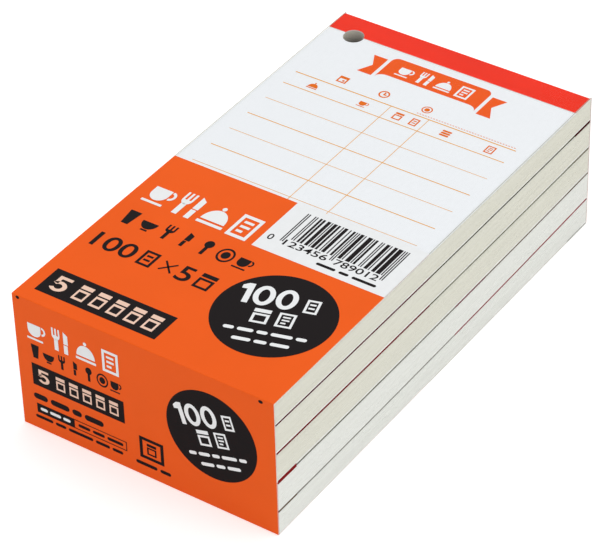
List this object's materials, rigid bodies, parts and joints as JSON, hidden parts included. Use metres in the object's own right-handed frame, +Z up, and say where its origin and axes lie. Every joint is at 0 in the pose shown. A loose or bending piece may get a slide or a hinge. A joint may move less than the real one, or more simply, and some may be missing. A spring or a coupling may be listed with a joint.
{
  "type": "guest check pad pack",
  "caption": "Film-wrapped stack of guest check pads: tape-bound, stapled and punched paper slips that draw out sideways from a lengthwise printed band.",
  "frame": {"origin": "under the middle of the pack, on the surface that it lies on", "axes": "+X across the slips, +Y along the slips to the back end of the pack, where the top pad's bound head is, +Z up"},
  "size_m": [0.066, 0.1256, 0.0353],
  "materials": {
    "printed_film": "soft film printed orange",
    "clear_film": "clear soft film",
    "tape": "red paper-cloth binding tape",
    "top_slip": "ruled white slip",
    "slips": "cut edges of thin uncoated slips",
    "board": "plain thin board",
    "staple": "bright staple wire"
  },
  "bodies": {
    "wrapper": {"wrapper_printed_film": "printed_film", "wrapper_clear_film": "clear_film"},
    "pad_1": {"pad_1_board": "board", "pad_1_slips": "slips", "pad_1_top_slip": "top_slip", "pad_1_staple_left": "staple", "pad_1_staple_right": "staple", "pad_1_tape": "tape", "pad_1_printed_film": "printed_film", "pad_1_clear_film": "clear_film"},
    "pad_2": {"pad_2_board": "board", "pad_2_slips": "slips", "pad_2_top_slip": "top_slip", "pad_2_staple_left": "staple", "pad_2_staple_right": "staple", "pad_2_tape": "tape", "pad_2_printed_film": "printed_film", "pad_2_clear_film": "clear_film"},
    "pad_3": {"pad_3_board": "board", "pad_3_slips": "slips", "pad_3_top_slip": "top_slip", "pad_3_staple_left": "staple", "pad_3_staple_right": "staple", "pad_3_tape": "tape", "pad_3_printed_film": "printed_film", "pad_3_clear_film": "clear_film"},
    "pad_4": {"pad_4_board": "board", "pad_4_slips": "slips", "pad_4_top_slip": "top_slip", "pad_4_staple_left": "staple", "pad_4_staple_right": "staple", "pad_4_tape": "tape", "pad_4_printed_film": "printed_film", "pad_4_clear_film": "clear_film"},
    "pad_5": {"pad_5_board": "board", "pad_5_slips": "slips", "pad_5_top_slip": "top_slip", "pad_5_staple_left": "staple", "pad_5_staple_right": "staple", "pad_5_tape": "tape", "pad_5_printed_film": "printed_film", "pad_5_clear_film": "clear_film"}
  },
  "joints": [
    {"name": "pad_1_slide", "type": "slide", "parent": "wrapper", "child": "pad_1", "axis": [1, 0, 0], "range_m": [-0.08, 0.08]},
    {"name": "pad_2_slide", "type": "slide", "parent": "wrapper", "child": "pad_2", "axis": [1, 0, 0], "range_m": [-0.08, 0.08]},
    {"name": "pad_3_slide", "type": "slide", "parent": "wrapper", "child": "pad_3", "axis": [1, 0, 0], "range_m": [-0.08, 0.08]},
    {"name": "pad_4_slide", "type": "slide", "parent": "wrapper", "child": "pad_4", "axis": [1, 0, 0], "range_m": [-0.08, 0.08]},
    {"name": "pad_5_slide", "type": "slide", "parent": "wrapper", "child": "pad_5", "axis": [1, 0, 0], "range_m": [-0.08, 0.08]}
  ]
}
